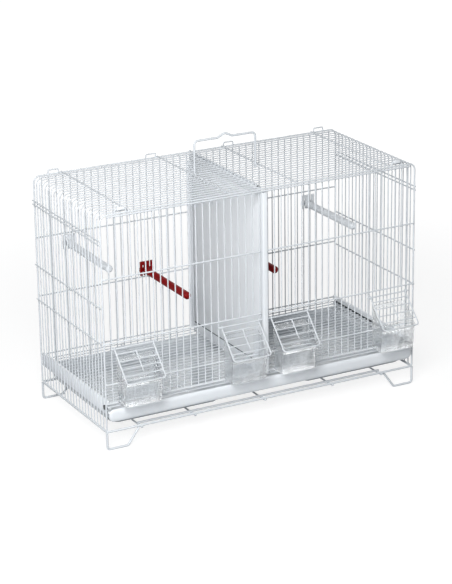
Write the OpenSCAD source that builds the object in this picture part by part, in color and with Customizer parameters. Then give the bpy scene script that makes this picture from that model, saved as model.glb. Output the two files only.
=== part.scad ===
// Canary breeding cage: a white wire cage of two compartments, with a sliding divider, a slide-out
// tray and floor grille, a folding handle, four clear feeder cups under hinged wire guards,
// and four clip-on perches. +X runs along the length, -Y is the front, +Z is up.
// The origin is on the floor, under the middle of the cage.

/* [Cage] */
// Length between the centre lines of the two side meshes
cage_w = 600; // [540:1:680]
// Depth between the centre lines of the front and rear meshes
cage_d = 264; // [240:1:320]
// Height of the roof mesh above the floor
roof_z = 408; // [380:1:460]
// Height of the base frame's centre line above the floor
frame_z = 33; // [26:1:44]
// Centre-line radius of the bend from the roof into each side
hood_r = 12; // [8:1:20]
// Number of gaps between the hood's wires, over the depth
hood_gaps = 22; // [18:1:24]
// Number of gaps between the upright wires of each front half
front_gaps = 22; // [20:1:24]
// Distance from the roof mesh's centre line down to the top of the front and rear panels
top_drop = 1.8; // [1.8:0.1:9]

/* [Wire] */
// Diameter of the mesh wires
mesh_wire = 2; // [1.6:0.1:2.4]
// Diameter of the cross wires welded outside the mesh
cross_wire = 2.5; // [2:0.1:3]
// Diameter of the wires at the front and rear edges of the hood
edge_wire = 3; // [2.6:0.1:3.4]
// Diameter of the base frame and the feet
frame_wire = 4; // [3.5:0.1:5]
// Diameter of the handle
handle_wire = 4; // [3:0.1:4.6]
// Depth that two welded wires sink into each other
weld = 0.3; // [0.2:0.05:0.5]

/* [Cross wires] */
// Heights of the side meshes' cross wires, from the floor
side_cross_z = [187, 250, 359, 365.5];
// Height of the front panels' upper cross wire
front_upper_z = 300; // [270:1:330]
// Height of the front panels' lower cross wire, above the feeders
front_lower_z = 189; // [184:1:200]
// Height of the front panels' sill wire, under the feeder openings
sill_z = 117; // [112:1:122]
// Heights of the rear panel's cross wires
rear_cross_z = [83, 192, 298];
// Distance from the middle to the inner roof cross wires, beside the handle
roof_inner_x = 64; // [60:1:90]
// Distance from the middle to the outer roof cross wires
roof_outer_x = 248; // [200:1:270]
// Diameter of the wire along the middle of the roof, over the divider
roof_middle_wire = 3.4; // [2.4:0.1:4]

/* [Feet] */
// Length of each foot along the floor
foot_run = 38; // [25:1:50]
// Width of each foot where it meets the base frame
foot_top_w = 59; // [50:1:64]
// Centre-line radius of the foot's bends
foot_r = 5; // [4:0.5:8]
// Distance from the middle to each pair of tray support wires
support_x = [135, 236];
// Diameter of the tray support wires
support_wire = 3; // [2.5:0.1:3.5]
// Distance of the lengthwise support wires from the front and rear base wires
support_inset = 12; // [9:1:30]

/* [Side rails] */
// Height of the side rails' lower edge above the base frame's centre line
rail_up = 31; // [28:1:34]
// Width of the side rails
rail_w = 9; // [8:0.5:11]
// Thickness of the side rails' web and flanges
rail_t = 1.2; // [1:0.1:1.6]
// Clear height of the rail's slot for the tray's rim
tray_slot_h = 6.3; // [5:0.1:8]
// Clear height of the rail's slot for the floor grille
grille_slot_h = 7; // [6:0.1:9]
// Height of the rail's lip above the grille slot
rail_lip_h = 8; // [6:0.5:12]

/* [Tray] */
// Height of the tray's floor above the base frame
tray_lift = 6.3; // [0.3:0.1:12]
// Thickness of the tray's walls
tray_wall = 2; // [1.5:0.1:3]
// Thickness of the tray's side rim
tray_rim_t = 2.5; // [2:0.1:4]
// Height of the tray's front face
tray_face_h = 22.5; // [18:0.5:24]
// Thickness of the tray's front face
tray_face_t = 4; // [3:0.5:6]
// Length of the finger recess under the tray's front face
tray_grip_w = 170; // [120:1:240]
// Depth of the finger recess
tray_grip_d = 15; // [10:1:20]
// Corner radius of the tray's pan
tray_r = 18; // [17:1:30]

/* [Floor grille] */
// Number of gaps between the grille's lengthwise wires
grille_gaps = 21; // [17:1:23]
// Number of cross wires under the grille
grille_cross_n = 5; // [3:1:9]

/* [Divider] */
// Width of the open slot in the front, between the wires beside it
slot_w = 16; // [14:0.5:20]
// Thickness of the divider's sheet
sheet_t = 2; // [1.5:0.1:2.6]
// Thickness of the divider's top and bottom edging
edging_t = 4; // [3.6:0.1:5]
// Height of the divider's bottom edging
edging_h = 14; // [10:1:20]
// Width of the divider's front grip
grip_w = 9; // [7:0.5:10]
// Depth of the divider's front grip
grip_d = 10; // [8:0.5:14]
// Wall thickness of the divider's guides
guide_t = 1.5; // [1.2:0.1:2]

/* [Handle] */
// Width of the handle between its legs' centre lines
handle_w = 118; // [90:1:119]
// Height of the handle above its pivot
handle_h = 59; // [45:1:80]
// Height of the peak in the middle of the handle
handle_peak = 7; // [4:1:10]
// Width of the peak in the middle of the handle
handle_peak_w = 28; // [24:1:40]
// Centre-line radius of the handle's upper bends
handle_r = 7; // [5:0.5:12]

/* [Feeders] */
// Distance that the guard's hinge wire lies below the lower cross wire
hinge_drop = 11; // [9:0.5:14]
// Number of mesh gaps that each feeder opening takes up
opening_gaps = 6; // [5:1:6]
// Length of a guard from its hinge to its lowest wire
guard_len = 66; // [60:1:70]
// Tilt of a guard from the vertical, at rest on its cup
guard_tilt = 44; // [38:1:50]
// Number of slats between a guard's hinge and its lowest wire
guard_slats = 4; // [3:1:5]
// Distance between slats
slat_pitch = 14; // [12:0.5:15]
// Clearance from a guard's side wires to the wires beside the opening
guard_side_gap = 4.3; // [3:0.1:6]
// Width of a cup
cup_w = 68; // [60:1:70]
// Depth of a cup at its foot
cup_d = 33; // [26:1:36]
// Depth of a cup below the sill wire
cup_drop = 33; // [28:1:36]
// Distance of a cup's cheeks below the guard
cup_cheek_drop = 12; // [11:0.5:16]
// Height of the flared rim at the front of a cup
cup_rim_h = 7; // [4:0.5:10]
// Wall thickness of a cup
cup_wall = 1.6; // [1.2:0.1:2.2]
// Corner radius at the front of a cup
cup_front_r = 5; // [3:0.5:8]
// Radius along the bottom of a cup
cup_bottom_r = 7; // [3:0.5:10]
// Width of the lip that hangs a cup on the sill wire
cup_lip_w = 50; // [30:1:60]

/* [Perches] */
// Diameter of the perch rods
perch_d = 13; // [10:0.5:15]
// Length that a perch reaches into the cage, from the rear mesh
perch_len = 167; // [120:1:190]
// Width of a perch's clip
clip_w = 25; // [22:1:26]
// Height of a perch's clip
clip_h = 26; // [22:1:30]
// Thickness of a perch's clip
clip_t = 4; // [3:0.5:6]
// Width of the notches in a perch's clip
clip_notch_w = 2.6; // [2.2:0.1:3]
// Rear mesh gap, counted from the middle, and height of each red perch
red_perch_at = [[-7, 205], [6, 222]];
// Rear mesh gap, counted from the middle, and height of each white perch
white_perch_at = [[-18, 279], [18, 276]];

/* [Loops and plugs] */
// Width of the standing loops on the roof's front and rear edges
loop_w = 19; // [16:1:24]
// Height of the loops above the roof mesh
loop_h = 9; // [8:0.5:14]
// Distance from the middle to the outer loops
loop_outer_x = 263; // [255:1:266]
// Distance from the middle to the inner loops
loop_inner_x = 77; // [76:1:100]
// Length of the sleeve on a front loop
sleeve_w = 14; // [12:1:14]
// Diameter of the round plugs on the side rails
plug_d = 8; // [7:0.1:9]
// Diameter of the round plug on the divider's top guide
guide_plug_d = 5.6; // [4:0.1:7]

/* [Clearances] */
// Gap between wires and pieces that are joined but are separate pieces here
touch = 0.05; // [0.03:0.01:0.1]
// Gap under a piece that rests on another
seat = 0.3; // [0.2:0.05:0.4]
// Gap between a wire and the eye that turns round it
eye_gap = 0.35; // [0.3:0.05:0.5]
// Gap at each side of a piece that slides in a guide
slide_gap = 0.4; // [0.3:0.05:0.6]

/* [Hidden] */
$fn = 32;

white = [0.93, 0.94, 0.96];
pale = [0.86, 0.88, 0.92];
clear = [0.85, 0.9, 0.93, 0.45];
dark_red = [0.48, 0.02, 0.02];
black = [0.1, 0.12, 0.12];

side_x = cage_w / 2;
front_y = -cage_d / 2;
rear_y = cage_d / 2;
frame_top = frame_z + frame_wire / 2;
hood_pitch = cage_d / hood_gaps;
front_pitch = (side_x - slot_w / 2) / front_gaps;
panel_top_z = roof_z - top_drop;
// From a mesh's centre line to that of a cross wire welded outside it
cross_out = (mesh_wire + cross_wire) / 2 - weld;

// Side rails, from the bottom up
rail_z = frame_z + rail_up;
tray_rim_z = rail_z + rail_t + seat;
shelf_z = rail_z + rail_t + tray_slot_h;
grille_floor_z = shelf_z + rail_t;
lip_z = grille_floor_z + grille_slot_h;
rail_top_z = lip_z + rail_lip_h;
rail_out_x = side_x - mesh_wire / 2 - seat;
rail_in_x = rail_out_x - rail_w;
rail_front_y = front_y + 1.6;
rail_rear_y = rear_y - mesh_wire / 2 - seat;

// Floor grille
grille_cross_z = grille_floor_z + seat + cross_wire / 2;
grille_z = grille_cross_z + (cross_wire + mesh_wire) / 2 - weld;
grille_top_z = grille_z + mesh_wire / 2;
grille_half_w = rail_out_x - rail_t - slide_gap;
grille_front_y = front_y + 1;
grille_rear_y = rail_rear_y - 3;
grille_pitch = (grille_rear_y - grille_front_y - 5) / grille_gaps;
foot_cross_z = grille_top_z + 6;

// Tray
tray_z = frame_top + tray_lift;
tray_half_w = rail_in_x - 3;
tray_front_y = front_y + 8;
tray_rear_y = rear_y - mesh_wire / 2 - 4;
tray_rim_half_w = rail_out_x - rail_t - slide_gap;
tray_rim_top_z = tray_rim_z + tray_rim_t;
tray_face_top_z = grille_floor_z;
tray_face_y = front_y - edge_wire / 2 - slide_gap - tray_face_t;
tray_face_half_w = side_x - edge_wire / 2 - 2;

// Divider, its guides and the slot in the front
divider_z = grille_top_z + seat;
front_top_y = front_y - mesh_wire / 2 - edge_wire / 2 - touch;
divider_top_z = panel_top_z - edge_wire - 1;
guide_half_w = edging_t / 2 + slide_gap + guide_t;
guide_z = divider_top_z - 7;
divider_front_y = front_y - 2;
divider_rear_y = rear_y - 7;
guide_front_y = front_y + hood_pitch + mesh_wire / 2;
sheet_z = divider_z + edging_h - 5;
sheet_fit = 0.1;

// Feeders
hinge_y = front_y - cross_out;
hinge_z = front_lower_z - hinge_drop;
guard_low_y = hinge_y - guard_len * sin(guard_tilt);
guard_low_z = hinge_z - guard_len * cos(guard_tilt);
opening_w = opening_gaps * front_pitch;
guard_half_w = opening_w / 2 - guard_side_gap;
eye_r = cross_wire / 2 + eye_gap + mesh_wire / 2;
inner_feeder_x = slot_w / 2 + opening_w / 2;
outer_feeder_x = slot_w / 2 + (front_gaps - 1) * front_pitch - opening_w / 2;
feeder_x = [-outer_feeder_x, -inner_feeder_x, inner_feeder_x, outer_feeder_x];
cup_rim_z = guard_low_z - cross_wire / 2 - seat;
cup_rim_y = guard_low_y - 1;
cup_z = sill_z - cup_drop;
cup_back_y = hinge_y - cross_wire / 2 - seat;
cup_front_y = cup_back_y - cup_d;
cup_lip_z = sill_z + cross_wire / 2 + seat;
cup_lip_y = front_y + mesh_wire / 2 + 2;

// Perches
clip_y = rear_y - mesh_wire / 2 - seat;

// Straight wires along X, Y and Z
module wire_x(x0, x1, y, z, d) {
    translate([x0, y, z]) rotate([0, 90, 0]) cylinder(h = x1 - x0, d = d);
}
module wire_y(y0, y1, x, z, d) {
    translate([x, y0, z]) rotate([-90, 0, 0]) cylinder(h = y1 - y0, d = d);
}
module wire_z(z0, z1, x, y, d) {
    translate([x, y, z0]) cylinder(h = z1 - z0, d = d);
}

bend_swell = 0.08;
bend_lap = 0.15;
function heading(v) = atan2(v[1], v[0]);
// Angle of the bend at b, between -180 and 180
function turn(a, b, c) =
    let (t = heading(c - b) - heading(b - a)) t > 180 ? t - 360 : t < -180 ? t + 360 : t;
function trim(pts, i, r) =
    i == 0 || i == len(pts) - 1 ? 0 : r * tan(abs(turn(pts[i - 1], pts[i], pts[i + 1])) / 2);
function unit(v) = v / norm(v);

// A wire of diameter d bent in the XY plane through pts, with bends of centre-line radius r.
// A bend is a hair thicker than the wire, and the straight lengths run a little way into it.
module bent_wire(pts, r, d) {
    last = len(pts) - 1;
    for (i = [0:last - 1]) {
        along = unit(pts[i + 1] - pts[i]);
        from = pts[i] + along * (trim(pts, i, r) - (i > 0 ? bend_lap : 0));
        to = pts[i + 1] - along * (trim(pts, i + 1, r) - (i + 1 < last ? bend_lap : 0));
        translate(from) rotate([0, 90, heading(along)]) cylinder(h = norm(to - from), d = d);
    }
    for (i = [1:last - 1]) {
        t = turn(pts[i - 1], pts[i], pts[i + 1]);
        side = sign(t);
        start = pts[i] - unit(pts[i] - pts[i - 1]) * trim(pts, i, r);
        h = heading(pts[i] - pts[i - 1]);
        centre = start + r * side * [-sin(h), cos(h)];
        translate(centre) rotate([0, 0, h - 90 * side - (side < 0 ? abs(t) : 0)])
            rotate_extrude(angle = abs(t)) translate([r, 0]) circle(d = d + bend_swell);
    }
}

// A rectangle with round corners, centred
module round_rect(w, h, r) {
    square([w - 2 * r, h], center = true);
    square([w, h - 2 * r], center = true);
    for (x = [-1, 1], y = [-1, 1]) translate([x * (w / 2 - r), y * (h / 2 - r)]) circle(r = r);
}

// The base frame's front or rear wire, with the bends at its corners: side is -1 for the front
module base_long_wire(side) {
    color(white) translate([0, 0, frame_z]) bent_wire([
        [-side_x, side * (rear_y - foot_r - touch)], [-side_x, side * rear_y],
        [side_x, side * rear_y], [side_x, side * (rear_y - foot_r - touch)]
    ], foot_r, frame_wire);
}
module base_side_wire(side) {
    reach = rear_y - foot_r - 2 * touch;
    color(white) wire_y(-reach, reach, side * side_x, frame_z, frame_wire);
}

// Wires under the tray: five across, hooked round the base wires, and two lengthwise on them
hook_r = (frame_wire + support_wire) / 2 + touch;
support_z = frame_z - hook_r;
module support_hook(side) {
    translate([0, side * rear_y, frame_z]) rotate([90, 0, 90])
        rotate([0, 0, side > 0 ? -90 : 180]) rotate_extrude(angle = 90)
            translate([hook_r, 0]) circle(d = support_wire);
}
module tray_supports() {
    long_z = support_z + (support_wire + frame_wire) / 2 + touch;
    long_y = rear_y - support_inset;
    long_half = max(support_x) + support_wire / 2 + 1;
    color(white) {
        for (x = concat([0], support_x, -support_x)) translate([x, 0, 0]) {
            wire_y(front_y, rear_y, 0, support_z, support_wire);
            for (side = [-1, 1]) support_hook(side);
        }
        for (side = [-1, 1]) wire_x(-long_half, long_half, side * long_y, long_z, frame_wire);
    }
}

// A foot of bent wire under a corner of the base frame
module foot(side_of_x, side_of_y) {
    top = frame_z - frame_wire / 2 - touch;
    low = frame_wire / 2;
    lean = atan2(top - low, foot_top_w - foot_run);
    slant_top = top - frame_wire / 2 * cos(lean);
    slant_x = foot_top_w - (top - slant_top) / tan(lean);
    pts = [[0, top], [0, low], [foot_run, low], [slant_x, slant_top]];
    color(white) mirror([side_of_x > 0 ? 1 : 0, 0, 0]) translate([-side_x, side_of_y * rear_y, 0])
        rotate([90, 0, 0]) bent_wire(pts, foot_r, frame_wire);
}

// Diameter and place of each wire of the hood, from the front to the rear
function hood_wire(i) = i == 0 || i == hood_gaps ? edge_wire : mesh_wire;
function hood_y(i) = front_y + i * hood_pitch;

module roof_mesh() {
    color(white) {
        for (i = [0:hood_gaps])
            wire_x(-side_x + hood_r, side_x - hood_r, hood_y(i), roof_z, hood_wire(i));
        for (x = [roof_inner_x, roof_outer_x], side = [-1, 1])
            wire_y(front_y - 1, rear_y + 1, side * x, roof_z + cross_out, cross_wire);
        middle_z = roof_z + (mesh_wire + roof_middle_wire) / 2 - weld;
        wire_y(hood_y(2) - mesh_wire, rear_y + 1, 0, middle_z, roof_middle_wire);
    }
}

// One side of the hood, with the bends that lead into the roof
module side_mesh(side) {
    color(white) mirror([side > 0 ? 1 : 0, 0, 0]) {
        for (i = [0:hood_gaps]) {
            wire_z(frame_top + touch, roof_z - hood_r, -side_x, hood_y(i), hood_wire(i));
            translate([-side_x + hood_r, hood_y(i), roof_z - hood_r]) rotate([90, 0, 0])
                rotate([0, 0, 90]) rotate_extrude(angle = 90)
                    translate([hood_r, 0]) circle(d = hood_wire(i));
        }
        for (z = side_cross_z)
            wire_y(front_y - 1, rear_y + 4, -side_x - cross_out, z, cross_wire);
    }
}

module rear_panel() {
    reach = side_x - edge_wire / 2 - touch;
    n = floor(reach / front_pitch);
    color(white) {
        for (i = [0:n - 1], side = [-1, 1]) {
            x = side * (i + 0.5) * front_pitch;
            wire_z(frame_top + touch, panel_top_z, x, rear_y, mesh_wire);
        }
        for (z = rear_cross_z) wire_x(-reach, reach, rear_y + cross_out, z, cross_wire);
        // The top one stops where the hood starts to bend
        wire_x(-side_x + hood_r, side_x - hood_r, rear_y + cross_out, panel_top_z - cross_wire,
            cross_wire);
    }
}

// True where the upright at gap i is cut for a feeder opening
function cut_upright(i) =
    (i > 0 && i < opening_gaps) || (i > front_gaps - 1 - opening_gaps && i < front_gaps - 1);
function upright_x(i) = slot_w / 2 + i * front_pitch;

module front_panel(side) {
    y = front_y - cross_out;
    first = slot_w / 2 - cross_wire / 2;
    last = side_x - edge_wire / 2 - touch;
    color(white) mirror([side < 0 ? 1 : 0, 0, 0]) {
        for (i = [0:front_gaps - 1]) {
            if (cut_upright(i)) {
                wire_z(foot_cross_z - 1, sill_z, upright_x(i), front_y, mesh_wire);
                wire_z(front_lower_z, panel_top_z, upright_x(i), front_y, mesh_wire);
            } else {
                wire_z(foot_cross_z - 1, panel_top_z, upright_x(i), front_y, mesh_wire);
            }
        }
        for (z = [foot_cross_z, sill_z, front_lower_z, front_upper_z])
            wire_x(first, last, y, z, cross_wire);
        for (x = [inner_feeder_x, outer_feeder_x])
            wire_x(x - opening_w / 2 - 2, x + opening_w / 2 + 2, hinge_y, hinge_z, cross_wire);
    }
}

module front_top_wire() {
    reach = side_x - hood_r;
    color(white) wire_x(-reach, reach, front_top_y, panel_top_z - edge_wire / 2, edge_wire);
}

// Side rail: the tray's rim runs in the lower slot and the floor grille in the upper one
module side_rail(side) {
    length = rail_rear_y - rail_front_y;
    color(pale) mirror([side < 0 ? 1 : 0, 0, 0]) translate([0, rail_rear_y, 0]) rotate([90, 0, 0])
        linear_extrude(length) {
            translate([rail_out_x - rail_t, rail_z]) square([rail_t, rail_top_z - rail_z]);
            for (z = [rail_z, shelf_z]) translate([rail_in_x, z]) square([rail_w, rail_t]);
            translate([rail_out_x - rail_w / 2, lip_z]) square([rail_w / 2, rail_lip_h]);
        }
}

// Guide under the roof: a channel for the divider's top edge
module divider_top_guide() {
    slot_half = edging_t / 2 + slide_gap;
    ceiling = divider_top_z + slide_gap;
    top = roof_z - mesh_wire / 2 - touch;
    color(white) translate([0, rear_y - mesh_wire - 2, 0]) rotate([90, 0, 0])
        linear_extrude(rear_y - mesh_wire - 2 - guide_front_y) difference() {
            translate([-guide_half_w, guide_z]) square([2 * guide_half_w, top - guide_z]);
            translate([-slot_half, guide_z - 1]) square([2 * slot_half, ceiling - guide_z + 1]);
        }
}

// Guide on the rear mesh: a slot for the divider's rear edge
module divider_rear_guide() {
    plate_half = front_pitch / 2 + mesh_wire;
    slot_half = edging_t / 2 + slide_gap;
    color(white) translate([0, 0, divider_z + 2]) linear_extrude(guide_z - divider_z - 4) {
        translate([-plate_half, clip_y - guide_t]) square([2 * plate_half, guide_t]);
        for (x = [slot_half, -slot_half - guide_t])
            translate([x, divider_rear_y - 4]) square([guide_t, clip_y - divider_rear_y + 4]);
    }
}

module loop_wire() {
    foot = edge_wire / 2 + touch;
    top = loop_h - cross_wire / 2;
    pts = [[-loop_w / 2, foot], [-loop_w / 2, top], [loop_w / 2, top], [loop_w / 2, foot]];
    translate([0, 0, roof_z]) rotate([90, 0, 0]) bent_wire(pts, cross_wire, cross_wire);
}
module rear_loops() {
    color(white) for (x = [loop_inner_x, loop_outer_x], side = [-1, 1])
        translate([side * x, rear_y, 0]) loop_wire();
}
module front_loops() {
    color(white) for (side = [-1, 1]) translate([side * loop_outer_x, front_y, 0]) loop_wire();
}
// Plastic sleeves snapped on the front loops' top wires
module loop_sleeves() {
    sleeve_d = cross_wire + 4;
    z = roof_z + loop_h - cross_wire / 2;
    half = sleeve_w / 2;
    color(white) for (side = [-1, 1]) translate([side * loop_outer_x, front_y, z]) difference() {
        wire_x(-half, half, 0, 0, sleeve_d);
        wire_x(-half - 1, half + 1, 0, 0, cross_wire + 2 * sheet_fit);
        translate([-half - 1, -cross_wire / 2 + sheet_fit, -sleeve_d])
            cube([2 * half + 2, cross_wire - 2 * sheet_fit, sleeve_d]);
    }
}

// Round plugs: on each side rail's front end, and on the divider's top guide
module plugs() {
    rail_y = (hood_y(0) + edge_wire / 2 + hood_y(1) - mesh_wire / 2) / 2;
    guide_y = hood_y(1) + mesh_wire / 2 + seat + guide_plug_d / 2;
    guide_top = roof_z - mesh_wire / 2;
    color(black) {
        for (side = [-1, 1])
            translate([side * (rail_out_x + touch), rail_y, (rail_z + rail_top_z) / 2])
                rotate([0, side * 90, 0]) cylinder(h = mesh_wire + 1, d = plug_d);
        translate([0, guide_y, guide_top]) cylinder(h = mesh_wire / 2 + 1.5, d = guide_plug_d);
    }
}

function gap_x(k) = k * front_pitch;

module perch_rod(at, tone) {
    from_y = clip_y - clip_t - touch;
    tip_y = rear_y - perch_len;
    color(tone) translate([gap_x(at[0]), from_y, at[1]]) rotate([90, 0, 0]) {
        cylinder(h = from_y - tip_y - 4, d = perch_d);
        translate([0, 0, from_y - tip_y - 4]) cylinder(h = 2.5, d1 = perch_d, d2 = perch_d - 4);
        translate([0, 0, from_y - tip_y - 4]) cylinder(h = 4, d = perch_d / 2);
    }
}

// A clip: a plate with a notch from below over one mesh wire and a notch from above over the
// next, and a lug through the rear mesh that a bar holds behind it
module perch_clip(at, tone) {
    low = -perch_d / 2 - 2;
    lug_w = front_pitch - mesh_wire - 2;
    lug_h = clip_h / 3;
    bar_w = front_pitch + 2 * mesh_wire + 4;
    bar_y = mesh_wire + 2 * seat;
    left_x = -(front_pitch + clip_notch_w) / 2;
    right_x = (front_pitch - clip_notch_w) / 2;
    color(tone) translate([gap_x(at[0]), clip_y, at[1]]) difference() {
        union() {
            translate([-clip_w / 2, -clip_t, low]) cube([clip_w, clip_t, clip_h]);
            translate([-lug_w / 2, -1, -lug_h / 2]) cube([lug_w, bar_y + 3, lug_h]);
            translate([-bar_w / 2, bar_y, -lug_h / 2]) cube([bar_w, 3, lug_h]);
        }
        translate([left_x, -clip_t - 1, low - 1]) cube([clip_notch_w, clip_t + 1 + seat, clip_h - 5.5]);
        translate([right_x, -clip_t - 1, low + clip_h / 2 - 1.5])
            cube([clip_notch_w, clip_t + 1 + seat, clip_h]);
    }
}

// Tray: a shallow pan with a finger recess, a rim that runs in the side rails, and a front face
module tray_plan(inset) {
    pan_w = 2 * (tray_half_w - inset);
    pan_d = tray_rear_y - tray_front_y - 2 * inset;
    translate([0, (tray_rear_y + tray_front_y) / 2]) difference() {
        round_rect(pan_w, pan_d, tray_r - inset);
        translate([0, -pan_d / 2]) round_rect(tray_grip_w + 2 * inset, 2 * tray_grip_d, tray_grip_d - 1);
    }
}
module tray() {
    rim_d = tray_rear_y - rail_front_y;
    face_mid_z = tray_face_top_z - tray_face_h / 2;
    color(white) difference() {
        union() {
            translate([0, 0, tray_z]) linear_extrude(tray_rim_top_z - tray_z) tray_plan(0);
            translate([-tray_rim_half_w, rail_front_y, tray_rim_z])
                cube([2 * tray_rim_half_w, rim_d, tray_rim_t]);
            translate([-tray_half_w + tray_r, tray_face_y + 1, tray_rim_z])
                cube([2 * (tray_half_w - tray_r), tray_front_y - tray_face_y + tray_grip_d, tray_rim_t]);
            translate([0, tray_face_y + tray_face_t, face_mid_z]) rotate([90, 0, 0])
                linear_extrude(tray_face_t)
                    round_rect(2 * tray_face_half_w, tray_face_h, tray_face_h / 2 - 1);
        }
        translate([0, 0, tray_z + tray_wall]) linear_extrude(tray_rim_top_z) tray_plan(tray_wall);
    }
}

module floor_grille() {
    color(white) {
        for (y = concat([for (i = [0:grille_gaps]) grille_rear_y - i * grille_pitch], grille_front_y))
            wire_x(-grille_half_w, grille_half_w, y, grille_z, mesh_wire);
        for (i = [0:grille_cross_n - 1]) {
            x = (2 * i / (grille_cross_n - 1) - 1) * (grille_half_w - cross_wire);
            wire_y(grille_front_y - 1, grille_rear_y + 1, x, grille_cross_z, cross_wire);
        }
    }
}

// The divider: a sheet held in edgings, with a grip along its front
module divider_sheet() {
    top = divider_top_z - 3;
    color(pale) translate([-sheet_t / 2, divider_front_y, sheet_z])
        cube([sheet_t, divider_rear_y - divider_front_y, top - sheet_z]);
}
module edging(z0, z1, groove_z0, groove_z1) {
    groove_half = sheet_t / 2 + sheet_fit;
    length = divider_rear_y - divider_front_y - grip_d / 2 - touch;
    translate([0, divider_rear_y, 0]) rotate([90, 0, 0]) linear_extrude(length) difference() {
        translate([-edging_t / 2, z0]) square([edging_t, z1 - z0]);
        translate([-groove_half, groove_z0]) square([2 * groove_half, groove_z1 - groove_z0]);
    }
}
module divider_bottom_edging() {
    top = divider_z + edging_h;
    color(white) edging(divider_z, top, sheet_z - sheet_fit, top + 1);
}
module divider_top_edging() {
    low = divider_top_z - edging_h / 2;
    color(white) edging(low, divider_top_z, low - 1, divider_top_z - 3 + sheet_fit);
}
module divider_grip() {
    groove_half = sheet_t / 2 + sheet_fit;
    back_y = divider_front_y + grip_d / 2;
    color(white) translate([0, 0, divider_z + 1]) linear_extrude(divider_top_z - divider_z - 1)
        difference() {
            translate([0, back_y - grip_d / 2]) round_rect(grip_w, grip_d, 2);
            translate([-groove_half, divider_front_y - sheet_fit]) square([2 * groove_half, grip_d]);
        }
}

// Handle: a bail whose two eyes turn on the roof's middle wire
module handle() {
    half = handle_w / 2;
    eye_wire = handle_wire - 0.6;
    eye = (mesh_wire + eye_wire) / 2 + eye_gap;
    peak_x = handle_peak_w / 2;
    pts = [
        [-half, eye], [-half, handle_h], [-peak_x, handle_h], [0, handle_h + handle_peak],
        [peak_x, handle_h], [half, handle_h], [half, eye]
    ];
    color(white) translate([0, hood_y(hood_gaps / 2), roof_z]) {
        rotate([90, 0, 0]) bent_wire(pts, handle_r, handle_wire);
        for (side = [-1, 1]) translate([side * half, 0, 0]) rotate([0, 90, 0])
            rotate_extrude() translate([eye, 0]) circle(d = eye_wire);
    }
}

// A feeder guard: a wire frame with slats, hung by two eyes on its hinge wire
module guard(x) {
    bend_r = 5;
    pts = [
        [-guard_half_w, -eye_r], [-guard_half_w, -guard_len], [guard_half_w, -guard_len],
        [guard_half_w, -eye_r]
    ];
    color(white) translate([x, hinge_y, hinge_z]) rotate([-guard_tilt, 0, 0]) {
        rotate([90, 0, 0]) bent_wire(pts, bend_r, cross_wire);
        for (side = [-1, 1]) translate([side * guard_half_w, 0, 0]) rotate([0, 90, 0])
            rotate_extrude() translate([eye_r, 0]) circle(d = mesh_wire);
        for (i = [1:guard_slats])
            wire_x(-guard_half_w, guard_half_w, 0, -guard_len + i * slat_pitch, mesh_wire);
        // The short wire down the middle, welded outside the slats
        spine_low = -guard_len + 1.3 * slat_pitch;
        spine_top = -guard_len + guard_slats * slat_pitch;
        wire_z(spine_low, spine_top, 0, -mesh_wire + weld, mesh_wire);
    }
}

// A clear cup, hung by its lip on the sill wire. Its cheeks slope like the guard above them,
// its front rim flares out below the guard's lowest wire, and its back has a window for the bird.
module cup_plan(inset) {
    w = cup_w - 2 * inset;
    front = cup_front_y + inset;
    back = cup_back_y - inset;
    r = cup_front_r - inset;
    translate([-w / 2, front + r]) square([w, back - front - r]);
    translate([-w / 2 + r, front]) square([w - 2 * r, r + 1]);
    for (side = [-1, 1]) translate([side * (w / 2 - r), front + r]) circle(r = r);
}
module cup_face(inset, top) {
    w = cup_w - 2 * inset;
    r = cup_bottom_r - inset;
    low = cup_z + inset;
    translate([-w / 2, low + r]) square([w, top - low - r]);
    translate([-w / 2 + r, low]) square([w - 2 * r, r + 1]);
    for (side = [-1, 1]) translate([side * (w / 2 - r), low + r]) circle(r = r);
}
function cheek_z(y) = hinge_z + (y - hinge_y) / tan(guard_tilt) - cup_cheek_drop;
module cup_block(inset, top) {
    intersection() {
        translate([0, 0, cup_z - 5]) linear_extrude(top - cup_z + 5) cup_plan(inset);
        translate([0, cup_back_y + 5, 0]) rotate([90, 0, 0]) linear_extrude(cup_d + 10)
            cup_face(inset, top);
    }
}
module cup(x) {
    top = hinge_z;
    rim_root_z = cup_rim_z - cup_rim_h;
    window_z = cup_lip_z + cup_wall;
    window_top = cheek_z(cup_back_y - cup_wall) - 6;
    color(clear) translate([x, 0, 0]) {
        difference() {
            cup_block(0, top);
            cup_block(cup_wall, top + 1);
            // The slope of the cheeks
            translate([-cup_w, 0, 0]) rotate([90, 0, 90]) linear_extrude(2 * cup_w) polygon([
                [cup_back_y + 1, cheek_z(cup_back_y + 1)], [cup_front_y - 1, cheek_z(cup_front_y - 1)],
                [cup_front_y - 1, top + 2], [cup_back_y + 1, top + 2]
            ]);
            // The front wall stops where the rim begins
            translate([-cup_w / 2 + cup_front_r, cup_front_y - 1, rim_root_z + cup_wall])
                cube([cup_w - 2 * cup_front_r, cup_wall + 2, top]);
            translate([-cup_lip_w / 2, cup_back_y - 5, window_z])
                cube([cup_lip_w, 10, window_top - window_z]);
        }
        translate([-cup_w / 2 + cup_front_r, 0, 0]) rotate([90, 0, 90])
            linear_extrude(cup_w - 2 * cup_front_r) polygon([
                [cup_front_y + cup_wall, rim_root_z], [cup_front_y + cup_wall, rim_root_z + cup_wall],
                [cup_rim_y, cup_rim_z], [cup_rim_y, cup_rim_z - cup_wall], [cup_front_y, rim_root_z]
            ]);
        translate([-cup_lip_w / 2, cup_back_y - cup_wall, cup_lip_z])
            cube([cup_lip_w, cup_lip_y - cup_back_y + cup_wall, cup_wall]);
    }
}

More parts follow.
